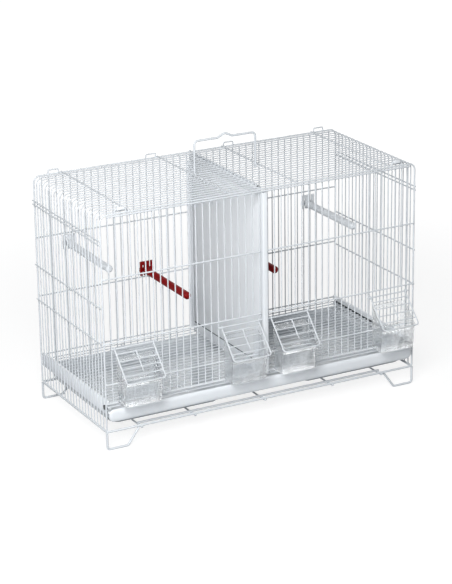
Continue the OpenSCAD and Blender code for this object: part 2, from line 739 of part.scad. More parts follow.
base_long_wire(-1);  // base_front_wire
base_long_wire(1);  // base_rear_wire
base_side_wire(-1);  // base_left_wire
base_side_wire(1);  // base_right_wire
tray_supports();
foot(-1, -1);  // foot_front_left
foot(1, -1);  // foot_front_right
foot(-1, 1);  // foot_rear_left
foot(1, 1);  // foot_rear_right
roof_mesh();
side_mesh(-1);  // left_side_mesh
side_mesh(1);  // right_side_mesh
rear_panel();
front_panel(-1);  // front_panel_left
front_panel(1);  // front_panel_right
front_top_wire();
side_rail(-1);  // left_rail
side_rail(1);  // right_rail
divider_top_guide();
divider_rear_guide();
rear_loops();
front_loops();
loop_sleeves();
plugs();
perch_rod(red_perch_at[0], dark_red);  // red_perch_left_rod
perch_clip(red_perch_at[0], dark_red);  // red_perch_left_clip
perch_rod(red_perch_at[1], dark_red);  // red_perch_right_rod
perch_clip(red_perch_at[1], dark_red);  // red_perch_right_clip
perch_rod(white_perch_at[0], white);  // white_perch_left_rod
perch_clip(white_perch_at[0], white);  // white_perch_left_clip
perch_rod(white_perch_at[1], white);  // white_perch_right_rod
perch_clip(white_perch_at[1], white);  // white_perch_right_clip
tray();
floor_grille();
divider_sheet();
divider_grip();
divider_bottom_edging();
divider_top_edging();
handle();
guard(feeder_x[0]);  // guard_1
guard(feeder_x[1]);  // guard_2
guard(feeder_x[2]);  // guard_3
guard(feeder_x[3]);  // guard_4
cup(feeder_x[0]);  // cup_1
cup(feeder_x[1]);  // cup_2
cup(feeder_x[2]);  // cup_3
cup(feeder_x[3]);  // cup_4
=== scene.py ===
# %% [markdown]
# # A canary breeding cage
#
# The real object is a wire cage of two compartments: over two hundred bright steel wires, bent and
# spot-welded, then powder coated white. A plastic tray, clear feeder cups, perches and a sliding
# divider hang in or on it.
#
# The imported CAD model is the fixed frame. It has every piece in its true place, so this script only
# has to give each piece its finished shape and surface. All sizes below are in millimetres and
# become metres when a mesh is made.

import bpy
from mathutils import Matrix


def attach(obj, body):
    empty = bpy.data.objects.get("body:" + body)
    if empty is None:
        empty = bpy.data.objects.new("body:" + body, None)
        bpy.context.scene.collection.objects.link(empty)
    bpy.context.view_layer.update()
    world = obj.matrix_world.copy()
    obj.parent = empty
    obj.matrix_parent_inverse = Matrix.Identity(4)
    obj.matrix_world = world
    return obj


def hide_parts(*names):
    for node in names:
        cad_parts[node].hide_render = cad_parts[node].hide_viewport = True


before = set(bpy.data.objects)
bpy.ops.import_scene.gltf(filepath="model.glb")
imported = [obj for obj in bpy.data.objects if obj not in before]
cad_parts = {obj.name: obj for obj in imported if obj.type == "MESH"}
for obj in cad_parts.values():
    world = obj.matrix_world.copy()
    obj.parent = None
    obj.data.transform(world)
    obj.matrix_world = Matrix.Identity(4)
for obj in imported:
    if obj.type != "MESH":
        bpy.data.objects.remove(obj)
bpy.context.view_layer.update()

import math

import bmesh
import bpy
from mathutils import Matrix, Vector

MM = 0.001
scene = bpy.context.scene

# %% [markdown]
# ## The camera
#
# The photograph was taken from the front left and a little above, from a few metres away with a long
# lens. The place, the angles and the focal length were fitted to the corners and wires of the cage,
# so the render can be laid over the photograph. A fitted camera beats one that is set by eye, because
# a difference between render and photograph then shows a fault of the model and not of the view. The
# focal length was found in pixels of a frame 584 high, and the sensor's width counts along that longer side.

# %% Camera
def in_scene(name, data):
    """A new object, linked to the scene."""
    made = bpy.data.objects.new(name, data)
    scene.collection.objects.link(made)
    return made


FRAME_HEIGHT_PX, SENSOR_MM = 584, 36
focal_px = 2156.5
yaw, pitch, roll = 0.490, 0.338, -0.015
eye_point = Vector((-1674.8, -3135.9, 1435.8)) * MM

look = Vector((math.sin(yaw) * math.cos(pitch), math.cos(yaw) * math.cos(pitch), -math.sin(pitch)))
level = Vector((math.cos(yaw), -math.sin(yaw), 0))
upward = level.cross(look)
right = level * math.cos(roll) + upward * math.sin(roll)
above = upward * math.cos(roll) - level * math.sin(roll)

camera_data = bpy.data.cameras.new("camera")
camera_data.sensor_width = SENSOR_MM
camera_data.lens = focal_px * SENSOR_MM / FRAME_HEIGHT_PX
camera_data.clip_end = 30
camera = in_scene("camera", camera_data)
camera.matrix_world = Matrix.Translation(eye_point) @ Matrix((right, above, -look)).transposed().to_4x4()
scene.camera = camera
print("lens, mm:", round(camera_data.lens, 1))

# %% [markdown]
# ## Node helpers
#
# Materials and geometry trees are both made of nodes. Two small helpers keep the cells short: one
# adds a node with its settings and inputs, the other joins outputs to inputs.

# %% Node helpers
def add(tree, kind, settings=None, **inputs):
    """A new node. settings are its properties, and inputs are values of its sockets by name."""
    node = tree.nodes.new(kind)
    for key, value in (settings or {}).items():
        setattr(node, key, value)
    for key, value in inputs.items():
        node.inputs[key.replace("_", " ")].default_value = value
    return node


def join(tree, *links):
    """Joins nodes. A link is a node and its output, then the next node and its socket."""
    for source, output, target, socket in links:
        tree.links.new(source.outputs[output], target.inputs[socket])


# %% [markdown]
# ## The studio
#
# White wires on a white ground are hard to light: as soon as they are as bright as the ground, they
# vanish. So the world is plain white only for the camera and for what is seen in gloss or through
# clear plastic, and gives the object a softer light. Three large soft lamps model the round wires: a
# strong one high at the front left, a weak, low one at the front right, and one low behind the cage,
# which the photograph doesn't show but the rear needs, to be seen from there as well.

# %% World
def emptied_tree(owner):
    """The node tree of a world or a material, without nodes."""
    owner.use_nodes = True
    owner.node_tree.nodes.clear()
    return owner.node_tree


def show(tree, lit, seen, output):
    """Ends a tree with an output node of a kind, and two shaders: lit is what lights the object, and
    seen is for the camera and for what is seen in gloss or through clear plastic."""
    rays = add(tree, "ShaderNodeLightPath")
    straight = add(tree, "ShaderNodeMath", {"operation": "MAXIMUM"})
    any_way = add(tree, "ShaderNodeMath", {"operation": "MAXIMUM"})
    pick = add(tree, "ShaderNodeMixShader")
    join(tree,
         (rays, "Is Camera Ray", straight, 0), (rays, "Is Transmission Ray", straight, 1),
         (straight, 0, any_way, 0), (rays, "Is Glossy Ray", any_way, 1),
         (any_way, 0, pick, 0), (lit, 0, pick, 1), (seen, 0, pick, 2),
         (pick, 0, add(tree, output), "Surface"))


scene.view_settings.view_transform = "Standard"
world = bpy.data.worlds.new("studio")
scene.world = world
tree = emptied_tree(world)
soft = add(tree, "ShaderNodeBackground", Color=(0.90, 0.95, 1, 1), Strength=0.15)
plain = add(tree, "ShaderNodeBackground", Color=(1, 1, 1, 1), Strength=1.0)
show(tree, soft, plain, "ShaderNodeOutputWorld")

# %% Lamps
cage_middle = Vector((0, 0, 0.2))


def soft_lamp(name, at, size, power):
    """A square area lamp, in metres and watts, aimed at the middle of the cage."""
    data = bpy.data.lights.new(name, "AREA")
    data.size, data.energy = size, power
    lamp = in_scene(name, data)
    lamp.location = at
    lamp.rotation_euler = (cage_middle - Vector(at)).to_track_quat("-Z", "Y").to_euler()


soft_lamp("key_lamp", (-1.15, -1.45, 1.3), 0.9, 51)
soft_lamp("fill_lamp", (0.5, -2.6, 0.9), 1.6, 4)
soft_lamp("rear_lamp", (1.3, 2.5, 0.9), 1.6, 17)

# %% [markdown]
# ## The floor
#
# The photograph's ground is pure white. For the camera the floor is mostly a plain glow, with a share
# of lit grey in it, so that the object's soft shadow still falls on it. The glow grows with the
# distance, as the lit share fades out there, so the ground stays white to the horizon. Other rays
# meet a matt pale floor, which lifts the undersides as a white table does.

# %% Floor
floor_material = bpy.data.materials.new("studio_floor")
tree = emptied_tree(floor_material)
where = add(tree, "ShaderNodeTexCoord")
far = add(tree, "ShaderNodeVectorMath", {"operation": "LENGTH"})
strength = add(tree, "ShaderNodeMapRange", {"interpolation_type": "SMOOTHSTEP"},
               From_Min=0.45, From_Max=1.9, To_Min=0.83, To_Max=1.0)
lit = add(tree, "ShaderNodeBsdfDiffuse", Color=(0.46, 0.48, 0.50, 1))
faint = add(tree, "ShaderNodeBsdfDiffuse", Color=(0.24, 0.24, 0.24, 1))
glow = add(tree, "ShaderNodeEmission", Color=(1, 1, 1, 1))
white = add(tree, "ShaderNodeAddShader")
join(tree, (where, "Object", far, 0), (far, "Value", strength, "Value"),
     (strength, "Result", glow, "Strength"), (glow, 0, white, 0), (faint, 0, white, 1))
show(tree, lit, white, "ShaderNodeOutputMaterial")

floor_mesh = bpy.data.meshes.new("studio_floor")
reach = 6.0
floor_mesh.from_pydata(
    [(-reach, -reach, 0), (reach, -reach, 0), (reach, reach, 0), (-reach, reach, 0)], [], [(0, 1, 2, 3)]
)
floor_mesh.materials.append(floor_material)
floor = in_scene("studio_floor", floor_mesh)

# %% [markdown]
# ## The finishes
#
# Every finish starts from one recipe: a base colour that drifts a little over the surface, a
# roughness that drifts with it, and a fine bump. What differs is the scale and the strength.
# Powder coat has a fine orange-peel skin of about 1 mm; moulded plastic has long, weak waves and
# fine scuffs; an extruded rail has lines along its length. All patterns read Object coordinates, in
# metres, so they stay put on the piece.
#
# A helper below paints shade into a finish: another colour within a box on the piece, with a soft
# edge. It is for the narrow gaps that show nearly black on the real cage, where shade falls deep,
# and for places that lie in shade.

# %% The recipe
MIX_A, MIX_B, MIX_RESULT = 6, 7, 2  # the sockets of a Mix node that mixes colours


def finish_material(name, dark, light, drift, rough, skin, skin_depth, stretch=(1, 1, 1), special=None):
    """A Principled material. dark and light are the ends of its colour, drift is the scale of that
    change, rough its roughness range, skin the scale of its bump and skin_depth the depth in metres.
    special has values for other sockets of the shader."""
    material = bpy.data.materials.new(name)
    material.use_nodes = True
    tree = material.node_tree
    shader = tree.nodes["Principled BSDF"]
    for socket, value in (special or {}).items():
        shader.inputs[socket].default_value = value
    where = add(tree, "ShaderNodeTexCoord")
    stretched = add(tree, "ShaderNodeMapping", Scale=stretch)
    clouds = add(tree, "ShaderNodeTexNoise", Scale=drift, Detail=3.0, Roughness=0.55)
    colour = add(tree, "ShaderNodeMix", {"data_type": "RGBA"})
    colour.inputs[MIX_A].default_value = (*dark, 1)
    colour.inputs[MIX_B].default_value = (*light, 1)
    roughness = add(tree, "ShaderNodeMapRange", To_Min=rough[0], To_Max=rough[1])
    fine = add(tree, "ShaderNodeTexNoise", Scale=skin, Detail=2.0, Roughness=0.5)
    bump = add(tree, "ShaderNodeBump", Strength=0.35, Distance=skin_depth)
    join(tree,
         (where, "Object", stretched, "Vector"), (stretched, 0, clouds, "Vector"),
         (stretched, 0, fine, "Vector"), (clouds, 0, colour, 0), (colour, MIX_RESULT, shader, "Base Color"),
         (clouds, 0, roughness, "Value"), (roughness, 0, shader, "Roughness"),
         (fine, 0, bump, "Height"), (bump, 0, shader, "Normal"))
    return material


def painted_shade(material, colour, ranges, soft=0.3):
    """Paints shade into a material: another colour in a part of its piece, such as a shaded slot. ranges
    are from and to in millimetres along some of the axes, and X is counted from the middle both ways."""
    tree = material.node_tree
    shader = tree.nodes["Principled BSDF"]
    where = add(tree, "ShaderNodeTexCoord")
    axes = add(tree, "ShaderNodeSeparateXYZ")
    both_ways = add(tree, "ShaderNodeMath", {"operation": "ABSOLUTE"})
    join(tree, (where, "Object", axes, 0), (axes, "X", both_ways, 0))
    shade_mask = add(tree, "ShaderNodeValue")
    shade_mask.outputs[0].default_value = 1
    for axis, limits in ranges.items():
        source, output = (both_ways, 0) if axis == "X" else (axes, axis)
        for edge, (before, after) in zip(limits, ((0, 1), (1, 0))):
            step = add(tree, "ShaderNodeMapRange", {"interpolation_type": "SMOOTHSTEP"}, To_Min=before,
                       To_Max=after, From_Min=(edge - soft) * MM, From_Max=(edge + soft) * MM)
            inside = add(tree, "ShaderNodeMath", {"operation": "MULTIPLY"})
            join(tree, (source, output, step, "Value"), (shade_mask, 0, inside, 0), (step, 0, inside, 1))
            shade_mask = inside
    mix = add(tree, "ShaderNodeMix", {"data_type": "RGBA"})
    mix.inputs[MIX_B].default_value = (*colour, 1)
    tree.links.new(shader.inputs["Base Color"].links[0].from_socket, mix.inputs[MIX_A])
    join(tree, (shade_mask, 0, mix, 0), (mix, MIX_RESULT, shader, "Base Color"))


# %% [markdown]
# ### Powder coat on the wires
#
# Sprayed as powder and baked, so it is a thick, slightly glossy skin with a faint orange peel. Its
# gloss is kept low: a thin round wire has all its edges at a slant, where gloss would show only the
# white surroundings and hide the wire's own shading.

# %% Powder coat
coat = finish_material(
    "powder_coat", (0.58, 0.61, 0.64), (0.66, 0.685, 0.71), 16.0, (0.36, 0.52), 950.0, 0.00012,
    special={"Specular IOR Level": 0.25},
)

# %% [markdown]
# ### The plastics
#
# The tray is glossy white polystyrene, the rails are an extruded satin strip, and the perches, clips
# and edgings are plain injection mouldings. The divider is a thin pale sheet with the faint upright
# lines of the rollers that made it.
#
# Four places have painted shade in their colour: the tray's inside under the grille; its front wall
# under the face, which lies in shade; the slot in each rail that the floor grille runs in, nearly
# black; and the seam above the divider's bottom edging.

# %% White and grey plastics
tray_gloss = finish_material(
    "tray_gloss", (0.65, 0.68, 0.71), (0.71, 0.735, 0.76), 6.0, (0.16, 0.26), 14.0, 0.0004,
    special={"Coat Weight": 0.1, "Coat Roughness": 0.08},
)
# Painted shade: the tray's inside, under the grille, is given a greyer colour.
tray_inside_shade = {"X": (-1, 285.5), "Y": (-122.8, 125.8), "Z": (42.3, 60)}
painted_shade(tray_gloss, (0.54, 0.57, 0.60), tray_inside_shade, soft=0.6)
# Painted shade: the front wall under the face is given a dark colour, for the face's shadow on it.
under_face_shade = {"X": (-1, 290), "Y": (-128, -105), "Z": (38, 48.5)}
painted_shade(tray_gloss, (0.25, 0.28, 0.31), under_face_shade, soft=1.2)

rail_satin = finish_material(
    "rail_satin", (0.76, 0.79, 0.82), (0.83, 0.85, 0.87), 25.0, (0.34, 0.5), 420.0, 0.00015,
    stretch=(1, 0.02, 1),
)
# Painted shade: the slot that the grille runs in is coloured nearly black, for the shade deep inside it.
grille_slot_shade = {"X": (294.6, 297.9), "Z": (72.4, 79.9)}
painted_shade(rail_satin, (0.02, 0.03, 0.04), grille_slot_shade)

white_moulding = finish_material(
    "white_moulding", (0.68, 0.71, 0.74), (0.76, 0.78, 0.80), 22.0, (0.26, 0.4), 240.0, 0.00015,
    special={"Specular IOR Level": 0.3},
)

divider_sheet = finish_material(
    "divider_sheet", (0.80, 0.825, 0.85), (0.85, 0.87, 0.89), 7.0, (0.38, 0.52), 300.0, 0.0002,
    stretch=(1, 1, 0.03),
)
# Painted shade: a dark band on the sheet just above the bottom edging, for the shade in the seam between
# them.
edging_seam_shade = {"Z": (91.2, 93.4)}
painted_shade(divider_sheet, (0.03, 0.05, 0.07), edging_seam_shade)

# %% [markdown]
# ### Red and black plastic, and clear cups
#
# The two lower perches are a deep red, almost black in the shade. The plugs are black. The cups are
# clear polystyrene: it bends light more than water does, so their edges and corners show as fine
# dark and bright lines. About half of the light goes straight through, without being bent, so that
# the wires behind a cup can be read and its shadow stays as pale as a real one.

# %% Red, black and clear
red_gloss = finish_material(
    "red_gloss", (0.17, 0.0005, 0.001), (0.24, 0.001, 0.002), 30.0, (0.3, 0.44), 300.0, 0.0001,
    special={"Specular IOR Level": 0.15},
)
black_plastic = finish_material(
    "black_plastic", (0.012, 0.016, 0.017), (0.03, 0.036, 0.038), 90.0, (0.3, 0.5), 700.0, 0.0001
)
cup_clear = finish_material(
    "cup_clear", (0.93, 0.96, 0.98), (0.97, 0.985, 0.995), 40.0, (0.0, 0.02), 55.0, 0.00001,
    special={"Transmission Weight": 1.0, "IOR": 1.5, "Alpha": 0.45},
)
print("finishes:", [m.name for m in bpy.data.materials if m.node_tree])

# %% [markdown]
# ## Wires from geometry nodes
#
# A wire is a path, a bend radius and a thickness. The tree below reads the path as a chain of mesh
# edges, rounds its corners, and sweeps a circle along it. It then sets copies in a row, because most
# wires of a cage come in rows. The cut ends get a low dome, as powder coat gives them. One tree with
# named inputs makes every wire of this cage, so a change of style is made once.

# %% The wire tree
def new_tree(name, inputs):
    """A geometry tree with its inputs, each a name, a socket kind and a default."""
    tree = bpy.data.node_groups.new(name, "GeometryNodeTree")
    tree.interface.new_socket("Geometry", in_out="INPUT", socket_type="NodeSocketGeometry")
    for label, kind, default in inputs:
        socket = tree.interface.new_socket(label, in_out="INPUT", socket_type=kind)
        if default is not None:
            socket.default_value = default
    tree.interface.new_socket("Geometry", in_out="OUTPUT", socket_type="NodeSocketGeometry")
    return tree, tree.nodes.new("NodeGroupInput"), tree.nodes.new("NodeGroupOutput")


wire_tree, given, result = new_tree("bent_wire_row", [
    ("Wire diameter", "NodeSocketFloat", 0.002),
    ("Bend radius", "NodeSocketFloat", 0.005),
    ("Bend steps", "NodeSocketInt", 7),
    ("Sides", "NodeSocketInt", 14),
    ("Copies", "NodeSocketInt", 1),
    ("Step", "NodeSocketVector", (0, 0, 0)),
    ("Domed ends", "NodeSocketBool", True),
    ("Coating", "NodeSocketMaterial", None),
])
t = wire_tree
path = add(t, "GeometryNodeMeshToCurve")
rounded = add(t, "GeometryNodeFilletCurve", {"mode": "POLY"}, Limit_Radius=True)
radius = add(t, "ShaderNodeMath", {"operation": "MULTIPLY"})
radius.inputs[1].default_value = 0.5
profile = add(t, "GeometryNodeCurvePrimitiveCircle")
sweep = add(t, "GeometryNodeCurveToMesh", Fill_Caps=True)
ends = add(t, "GeometryNodeCurveEndpointSelection")
wanted = add(t, "FunctionNodeBooleanMath", {"operation": "AND"})
along = add(t, "GeometryNodeInputTangent")
aim = add(t, "FunctionNodeAlignRotationToVector", {"axis": "Z"})
ball = add(t, "GeometryNodeMeshUVSphere", Segments=12, Rings=4)
dome = add(t, "GeometryNodeInstanceOnPoints", Scale=(0.99, 0.99, 0.4))
both = add(t, "GeometryNodeJoinGeometry")
row = add(t, "GeometryNodeMeshLine", {"mode": "OFFSET", "count_mode": "TOTAL"})
copies = add(t, "GeometryNodeInstanceOnPoints")
real = add(t, "GeometryNodeRealizeInstances")
painted = add(t, "GeometryNodeSetMaterial")
join(t,
     (given, "Geometry", path, "Mesh"), (path, "Curve", rounded, "Curve"),
     (given, "Bend radius", rounded, "Radius"), (given, "Bend steps", rounded, "Count"),
     (given, "Wire diameter", radius, 0), (radius, "Value", profile, "Radius"),
     (given, "Sides", profile, "Resolution"),
     (rounded, "Curve", sweep, "Curve"), (profile, "Curve", sweep, "Profile Curve"),
     (ends, "Selection", wanted, 0), (given, "Domed ends", wanted, 1),
     (along, "Tangent", aim, "Vector"), (radius, "Value", ball, "Radius"),
     (rounded, "Curve", dome, "Points"), (wanted, "Boolean", dome, "Selection"),
     (ball, "Mesh", dome, "Instance"), (aim, "Rotation", dome, "Rotation"),
     (sweep, "Mesh", both, "Geometry"), (dome, "Instances", both, "Geometry"),
     (given, "Copies", row, "Count"), (given, "Step", row, "Offset"),
     (row, "Mesh", copies, "Points"), (both, "Geometry", copies, "Instance"),
     (copies, "Instances", real, "Geometry"), (real, "Geometry", painted, "Geometry"),
     (given, "Coating", painted, "Material"), (painted, "Geometry", result, "Geometry"))

# %% [markdown]
# ## Weld beads
#
# Where two wires cross they are spot-welded: they sink into each other, and the coating fills the
# corner with a small soft bead. There are about a thousand, so each is a ball of only 40 faces, set
# on a list of points by a second tree, with a fixed seed for the small differences in size.

# %% The bead tree
RANDOM_MIN, RANDOM_MAX, RANDOM_FLOAT = 2, 3, 1  # sockets of a Random Value node for single numbers
bead_tree, given, result = new_tree("weld_beads", [
    ("Bead size", "NodeSocketVector", (0.0017, 0.0009, 0.0017)),
    ("Spread", "NodeSocketFloat", 0.12),
    ("Seed", "NodeSocketInt", 4),
    ("Coating", "NodeSocketMaterial", None),
])
t = bead_tree
ball = add(t, "GeometryNodeMeshUVSphere", Segments=8, Rings=5, Radius=1.0)
least = add(t, "ShaderNodeMath", {"operation": "SUBTRACT"})
least.inputs[0].default_value = 1.0
most = add(t, "ShaderNodeMath", {"operation": "ADD"})
most.inputs[0].default_value = 1.0
chance = add(t, "FunctionNodeRandomValue", {"data_type": "FLOAT"})
size = add(t, "ShaderNodeVectorMath", {"operation": "SCALE"})
set_down = add(t, "GeometryNodeInstanceOnPoints")
real = add(t, "GeometryNodeRealizeInstances")
painted = add(t, "GeometryNodeSetMaterial")
join(t,
     (given, "Spread", least, 1), (given, "Spread", most, 1),
     (least, 0, chance, RANDOM_MIN), (most, 0, chance, RANDOM_MAX), (given, "Seed", chance, "Seed"),
     (given, "Bead size", size, 0), (chance, RANDOM_FLOAT, size, "Scale"),
     (given, "Geometry", set_down, "Points"), (ball, "Mesh", set_down, "Instance"),
     (size, "Vector", set_down, "Scale"), (set_down, "Instances", real, "Geometry"),
     (real, "Geometry", painted, "Geometry"), (given, "Coating", painted, "Material"),
     (painted, "Geometry", result, "Geometry"))

# %% [markdown]
# ## Running a tree, and finishing a piece
#
# A tree runs as a modifier on a small seed object. Its inputs are set by the sockets' identifiers
# before the first evaluation. The result is read off as a plain mesh and the seed is thrown away, so
# nothing live is left on a finished piece.

# %% Run a tree
def seed_object(points, chains):
    """Points in millimetres, joined in chains of point numbers. A chain that ends where it began is
    closed."""
    mesh = bpy.data.meshes.new("seed")
    edges = [(a, b) for chain in chains for a, b in zip(chain, chain[1:])]
    mesh.from_pydata([Vector(p) * MM for p in points], edges, [])
    return in_scene("seed", mesh)


def plain_mesh(source):
    """The mesh that an object's modifiers make. The object is thrown away."""
    bpy.context.view_layer.update()
    graph = bpy.context.evaluated_depsgraph_get()
    mesh = bpy.data.meshes.new_from_object(source.evaluated_get(graph))
    bpy.data.objects.remove(source)
    return mesh


def grown(source, tree, **values):
    """The mesh that a tree makes from a seed object. values are the tree's inputs by name."""
    modifier = source.modifiers.new("shape", "NODES")
    modifier.node_group = tree
    for socket in tree.interface.items_tree:
        key = socket.name.lower().replace(" ", "_")
        if socket.item_type == "SOCKET" and socket.in_out == "INPUT" and key in values:
            modifier[socket.identifier] = values[key]
    return plain_mesh(source)


def wires(paths, diameter, bend=0.0, copies=1, step=(0, 0, 0), domed=True):
    """Bent wires along paths of points in millimetres, and copies of them, a step apart."""
    points, chains = [], []
    for route in paths:
        start = len(points)
        closed = route[0] == route[-1]
        points += route[:-1] if closed else route
        chains.append(list(range(start, len(points))) + ([start] if closed else []))
    return grown(
        seed_object(points, chains), wire_tree, wire_diameter=diameter * MM, bend_radius=bend * MM,
        copies=copies, step=Vector(step) * MM, domed_ends=domed, coating=coat,
    )


def beads(points, size, seed):
    """Weld beads at points in millimetres. size is half a bead's length along X, Y and Z."""
    return grown(
        seed_object(points, []), bead_tree, bead_size=Vector(size) * MM, seed=seed, coating=coat
    )


# %% Finish a piece
SHARP_ANGLE = 38


def one_mesh(name, parts):
    """Several meshes of one material in one mesh, smooth, with sharp edges kept sharp."""
    build = bmesh.new()
    for part in parts:
        build.from_mesh(part)
    mesh = bpy.data.meshes.new(name)
    build.to_mesh(mesh)
    build.free()
    mesh.materials.append(next(m for part in parts for m in part.materials if m))
    mesh.polygons.foreach_set("material_index", [0] * len(mesh.polygons))
    mesh.shade_smooth()
    mesh.set_sharp_from_angle(angle=math.radians(SHARP_ANGLE))
    for part in parts:
        bpy.data.meshes.remove(part)
    return mesh


def place(name, parts, body="cage", nodes=None):
    """Puts a finished piece in the scene: it stands for its CAD nodes, by default the one with its own
    name, and rides on their body."""
    piece = in_scene(f"{name}_visual", one_mesh(name, parts))
    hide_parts(*(nodes or [name]))
    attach(piece, body)
    print(f"{name}: {len(piece.data.polygons)} faces")


# %% [markdown]
# ## The sizes that pieces share
#
# The cage's wires stand on a few repeated distances. They are written once here, and each piece
# below takes them from this cell.

# %% Shared sizes
side_x, front_y, rear_y = 300.0, -132.0, 132.0
roof_z, frame_z, panel_top = 408.0, 33.0, 406.2
mesh_wire, cross_wire, edge_wire, frame_wire = 2.0, 2.5, 3.0, 4.0
cross_out = 1.95  # from the middle of an upright to the middle of a cross wire welded on it
hood_gaps, hood_pitch = 22, 12.0
front_pitch = 292.0 / 22
frame_top = frame_z + frame_wire / 2
hood_ys = [front_y + i * hood_pitch for i in range(hood_gaps + 1)]
side_cross_z = [187, 250, 359, 365.5]
bead_on_front = (1.75, 0.9, 1.75)


def span(x, y, z):
    """The path of a straight wire along X, as long to the left as to the right."""
    return [(-x, y, z), (x, y, z)]


def arc(x, centre, radius, start, sweep, steps):
    """Points of an arc in the upright plane at x, round a centre (y, z). Angles are in degrees, from
    the Y axis."""
    points = []
    for i in range(steps + 1):
        angle = math.radians(start + sweep * i / steps)
        points.append((x, centre[0] + radius * math.cos(angle), centre[1] + radius * math.sin(angle)))
    return points


print("mesh pitch, mm:", hood_pitch, round(front_pitch, 2))

# %% [markdown]
# ## The base frame, its supports and feet
#
# One 4 mm wire, bent to a rectangle and butt-welded, carries the whole cage. Thinner wires hook over
# it from front to rear, under the tray. The feet are short bent wires, welded below the corners.
# In CAD the frame is four pieces; here it can be what it is, one closed loop.

# %% Base frame
corners = span(side_x, front_y, frame_z) + span(-side_x, rear_y, frame_z)
place("base_frame", [wires([corners + corners[:1]], frame_wire, bend=5, domed=False)],
      nodes=["base_front_wire", "base_rear_wire", "base_left_wire", "base_right_wire"])

# %% Tray supports
hook, lengthwise_y = 3.55, 120
weld_z = frame_z - hook + 1.5
crosswise, welds = [], []
for x in (-236, -135, 0, 135, 236):
    front_hook = arc(x, (front_y, frame_z), hook, 180, 90, 8)
    crosswise.append(front_hook + arc(x, (rear_y, frame_z), hook, 270, 90, 8))
    welds += [(x, side * y, weld_z) for y in (lengthwise_y, rear_y) for side in (-1, 1)]
lengthwise = wires([span(238, -lengthwise_y, frame_z)], frame_wire, copies=2, step=(0, 2 * lengthwise_y, 0))
place("tray_supports", [wires(crosswise, 3), lengthwise, beads(welds, (2.4, 2.4, 1.0), 11)])

# %% Feet
foot_run, foot_top_w = 38.0, 59.0
foot_top, foot_low = frame_z - frame_wire / 2 - 0.05, frame_wire / 2
lean = math.atan2(foot_top - foot_low, foot_top_w - foot_run)
slant_z = foot_top - frame_wire / 2 * math.cos(lean)
slant_x = foot_top_w - (foot_top - slant_z) / math.tan(lean)
for x_side, x_name in ((-1, "left"), (1, "right")):
    for y_side, y_name in ((-1, "front"), (1, "rear")):
        shape = [(0, foot_top), (0, foot_low), (foot_run, foot_low), (slant_x, slant_z)]
        y = y_side * rear_y
        route = [(x_side * (side_x - a), y, b) for a, b in shape]
        welds = [(x_side * side_x, y, foot_top), (route[3][0], y, foot_top)]
        place(f"foot_{y_name}_{x_name}",
              [wires([route], frame_wire, bend=5, domed=False), beads(welds, (2.7, 2.5, 1.2), 12)])

# %% [markdown]
# ## The hood
#
# Roof and sides are one welded mat, bent over twice: each of its 23 wires runs up the left side, over
# the roof and down the right side. Cross wires lie outside them. Made as whole wires, the bends at
# the roof's edges come out even and without seams.

# %% Hood wires
hood_bend = 12


def hood_route(y):
    low = frame_top + 0.05
    return [(-side_x, y, low), (-side_x, y, roof_z), (side_x, y, roof_z), (side_x, y, low)]


mat = wires([hood_route(hood_ys[1])], mesh_wire, bend=hood_bend, copies=hood_gaps - 1,
            step=(0, hood_pitch, 0), domed=False)
edges = wires([hood_route(front_y)], edge_wire, bend=hood_bend, copies=2, step=(0, rear_y - front_y, 0),
              domed=False)

# %% Hood cross wires and welds
roof_cross_x, roof_cross_z = (-248, -64, 64, 248), roof_z + cross_out
side_cross_x = side_x + cross_out
middle_wire, middle_z = 3.4, roof_z + 2.4
over_roof = wires([[(x, front_y - 0.5, roof_cross_z), (x, rear_y + 0.5, roof_cross_z)]
                   for x in roof_cross_x], cross_wire)
over_sides = wires([[(s * side_cross_x, front_y - 0.5, z), (s * side_cross_x, rear_y + 3.5, z)]
                    for s in (-1, 1) for z in side_cross_z], cross_wire)
middle = wires([[(0, hood_ys[2] - 1.3, middle_z), (0, rear_y + 0.3, middle_z)]], middle_wire)
roof_welds = [(x, y, roof_z + 1.0) for x in roof_cross_x for y in hood_ys]
roof_welds += [(0, y, roof_z + 1.0) for y in hood_ys[2:]]
side_welds = [(s * (side_x + 1.0), y, z) for s in (-1, 1) for z in side_cross_z for y in hood_ys]
foot_welds = [(s * side_x, y, frame_top) for s in (-1, 1) for y in hood_ys]
place("hood", [mat, edges, over_roof, middle, over_sides, beads(roof_welds, (1.75, 1.75, 0.9), 21),
               beads(side_welds, (0.9, 1.75, 1.75), 22), beads(foot_welds, (1.9, 1.5, 1.0), 23)],
      nodes=["roof_mesh", "left_side_mesh", "right_side_mesh"])

# %% [markdown]
# ## The rear panel and the two front panels
#
# These are flat welded mats. The rear one is whole. Each front one leaves out parts of five uprights
# at two places, where the feeders are, so its rows are made in three kinds: full wires, stubs below
# an opening, and wires above it.

# %% Rear panel
reach = side_x - edge_wire / 2 - 0.05
rear_count = int(reach // front_pitch)
first_x = -(rear_count - 0.5) * front_pitch
rear_xs = [first_x + i * front_pitch for i in range(2 * rear_count)]
rear_cross_z, rear_cross_y = [83, 192, 298], rear_y + cross_out
rear_top_z, rear_top_x = panel_top - cross_wire, 288
uprights = wires([[(first_x, rear_y, frame_top + 0.05), (first_x, rear_y, panel_top - 0.4)]], mesh_wire,
                 copies=len(rear_xs), step=(front_pitch, 0, 0))
across = [(reach, z) for z in rear_cross_z] + [(rear_top_x, rear_top_z)]
across = wires([span(x, rear_cross_y, z) for x, z in across], cross_wire, domed=False)
rear_welds = [(x, rear_y + 1.0, z) for x in rear_xs for z in rear_cross_z + [rear_top_z]]
rear_welds += [(s * reach, rear_y + 1.2, z) for s in (-1, 1) for z in rear_cross_z]
place("rear_panel", [uprights, across, beads(rear_welds, bead_on_front, 31),
                     beads([(x, rear_y, frame_top) for x in rear_xs], (1.5, 1.9, 1.0), 32)])

